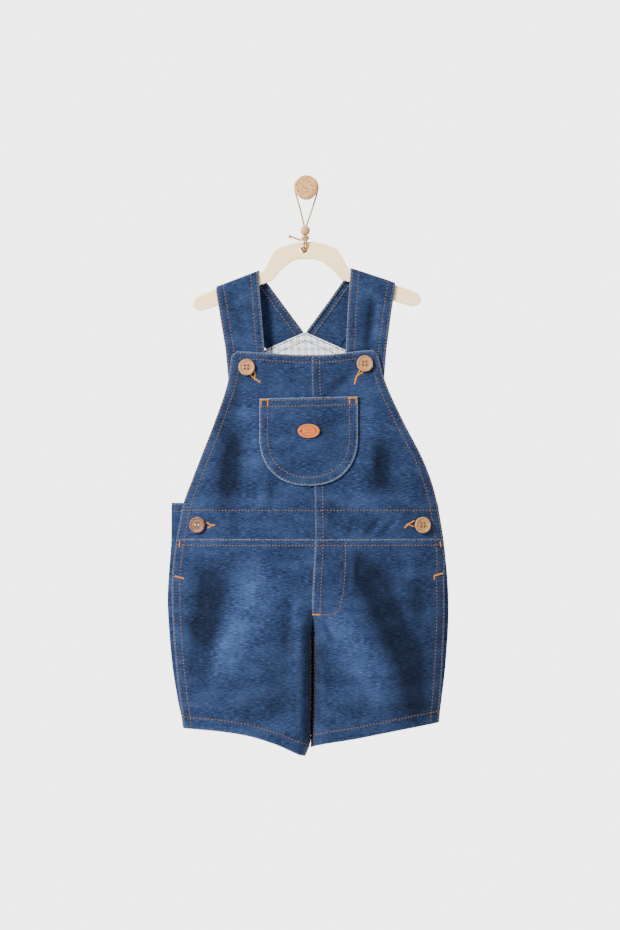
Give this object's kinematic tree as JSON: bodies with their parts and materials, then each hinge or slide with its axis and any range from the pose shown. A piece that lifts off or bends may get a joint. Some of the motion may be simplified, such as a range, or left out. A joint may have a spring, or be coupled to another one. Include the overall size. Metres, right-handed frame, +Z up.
{
  "type": "kids dungarees on a hanger",
  "caption": "Short denim-look bib dungarees hung by their straps on a small wooden hanger, with a twine loop, a bead and a cork wall knob.",
  "frame": {"origin": "on the wall knob's axis, at its flat back face, where it meets the wall", "axes": "+Z up, +Y into the wall, +X to the right as seen from the front; the garment hangs down from the knob before the wall"},
  "size_m": [0.2955, 0.0366, 0.6101],
  "materials": {
    "denim": "soft washed chambray knit in marled blue, matt",
    "gingham": "fine pale grey gingham cotton, matt",
    "leather": "pale tan leather, smooth",
    "button_wood": "turned wood with fine grain, sealed",
    "birch": "pale birch ply, sanded",
    "cork": "fine agglomerated cork, matt",
    "twine": "twisted cotton and jute twine",
    "bead_wood": "turned beech bead, satin",
    "thread": "orange and tan top-stitching thread"
  },
  "bodies": {
    "root": {"bib_left": "denim", "bib_right": "denim", "front_leg_left": "denim", "front_leg_right": "denim", "back_waist": "denim", "back_leg_left": "denim", "back_leg_right": "denim", "back_bib": "denim", "back_facing": "gingham", "strap_left": "denim", "strap_right": "denim", "bib_pocket": "denim", "pocket_tag": "leather", "button_bib_left": "button_wood", "button_bib_right": "button_wood", "button_side_left": "button_wood", "button_side_right": "button_wood", "hanger": "birch", "wall_knob": "cork", "hang_loop": "twine", "bead": "bead_wood", "twine_knot": "twine"}
  },
  "joints": []
}
